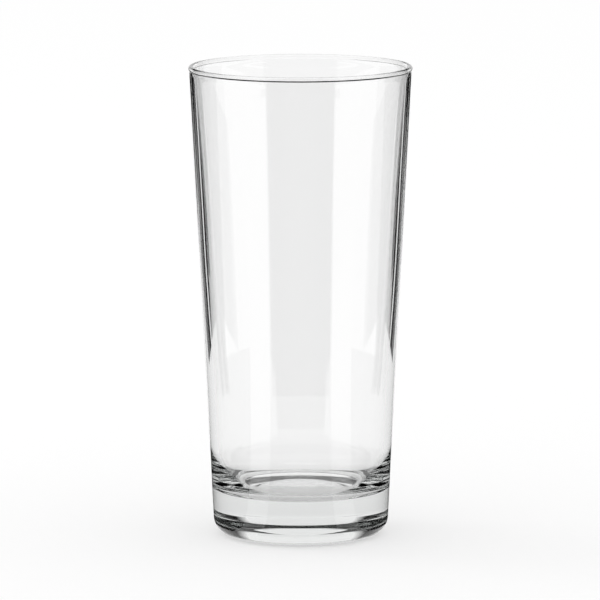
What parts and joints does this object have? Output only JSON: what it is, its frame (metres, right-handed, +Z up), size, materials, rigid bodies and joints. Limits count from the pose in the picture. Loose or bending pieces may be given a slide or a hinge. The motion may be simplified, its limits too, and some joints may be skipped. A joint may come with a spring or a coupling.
{
  "type": "tall tumbler",
  "caption": "Tall clear glass tumbler with a straight tapered wall, a thick solid base with a domed hollow under it, and a fire-polished rim, for long drinks.",
  "frame": {"origin": "centre of the flat ring that the glass stands on, on the axis of the tumbler", "axes": "+Z up the axis towards the rim; +X and +Y are alike, because the tumbler is round"},
  "size_m": [0.071, 0.071, 0.15],
  "materials": {
    "clear_glass": "clear colourless soda-lime glass, smooth, fire-polished"
  },
  "bodies": {
    "root": {"tumbler_glass": "clear_glass"}
  },
  "joints": []
}
